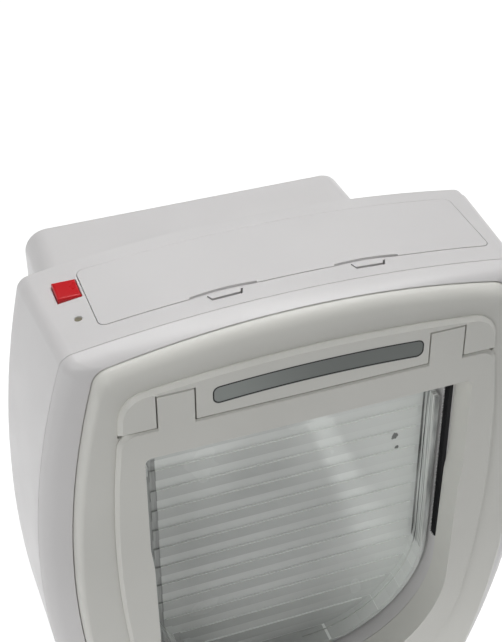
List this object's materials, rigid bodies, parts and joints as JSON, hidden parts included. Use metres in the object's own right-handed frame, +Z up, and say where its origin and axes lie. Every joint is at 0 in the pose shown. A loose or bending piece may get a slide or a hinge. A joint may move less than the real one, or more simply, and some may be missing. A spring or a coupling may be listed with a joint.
{
  "type": "microchip cat flap",
  "caption": "Off-white cat flap with a bowed indoor housing, a hinged front frame, a clear ribbed swing flap and a rear tunnel.",
  "frame": {"origin": "centre of the four door screws, on the face that meets the door panel", "axes": "+X to the right seen from indoors, +Y outdoors along the tunnel, +Z up"},
  "size_m": [0.225, 0.169, 0.252],
  "materials": {
    "shell_white": "satin",
    "frame_white": "satin",
    "clear_flap": "clear",
    "label_grey": "matte",
    "button_red": "gloss",
    "strip_black": "matte",
    "steel": "satin",
    "magnet_black": "matte",
    "cell_wrap": "satin",
    "board_green": "satin",
    "lamp_clear": "gloss",
    "coil_copper": "satin",
    "tray_black": "matte",
    "bolt_grey": "matte"
  },
  "bodies": {
    "housing": {"main_housing": "shell_white", "rear_shell": "shell_white", "tunnel_liner": "shell_white", "front_bezel": "shell_white", "front_cover": "frame_white", "label_plate": "label_grey", "frame_hinge_pins": "steel", "sill_magnet": "magnet_black", "pile_strip_left": "strip_black", "pile_strip_right": "strip_black", "battery_tray": "tray_black", "battery_cell_1": "cell_wrap", "battery_cell_2": "cell_wrap", "battery_cell_3": "cell_wrap", "battery_cell_4": "cell_wrap", "battery_contacts": "steel", "signal_lamp": "lamp_clear", "circuit_board": "board_green", "antenna_coil": "coil_copper", "latch_solenoid": "steel"},
    "frame": {"front_frame": "frame_white"},
    "flap": {"flap_panel": "clear_flap", "flap_pins": "steel", "flap_magnet": "magnet_black"},
    "lid": {"battery_lid": "shell_white"},
    "button": {"learn_button": "button_red"},
    "bolt": {"latch_bolt": "bolt_grey"}
  },
  "joints": [
    {"name": "flap_swing", "type": "hinge", "parent": "housing", "child": "flap", "pos_m": [0, -0.0466, 0.0535], "axis": [1, 0, 0], "range_deg": [-65, 65]},
    {"name": "frame_opening", "type": "hinge", "parent": "housing", "child": "frame", "pos_m": [0, -0.0713, 0.0903], "axis": [-1, 0, 0], "range_deg": [0, 90]},
    {"name": "lid_opening", "type": "hinge", "parent": "housing", "child": "lid", "pos_m": [0, -0.0088, 0.1196], "axis": [-1, 0, 0], "range_deg": [0, 75]},
    {"name": "button_press", "type": "slide", "parent": "housing", "child": "button", "axis": [0, 0, -1], "range_m": [0, 0.0014], "stiffness_N_per_m": 300},
    {"name": "bolt_rise", "type": "slide", "parent": "housing", "child": "bolt", "axis": [0, 0, 1], "range_m": [0, 0.006]}
  ]
}
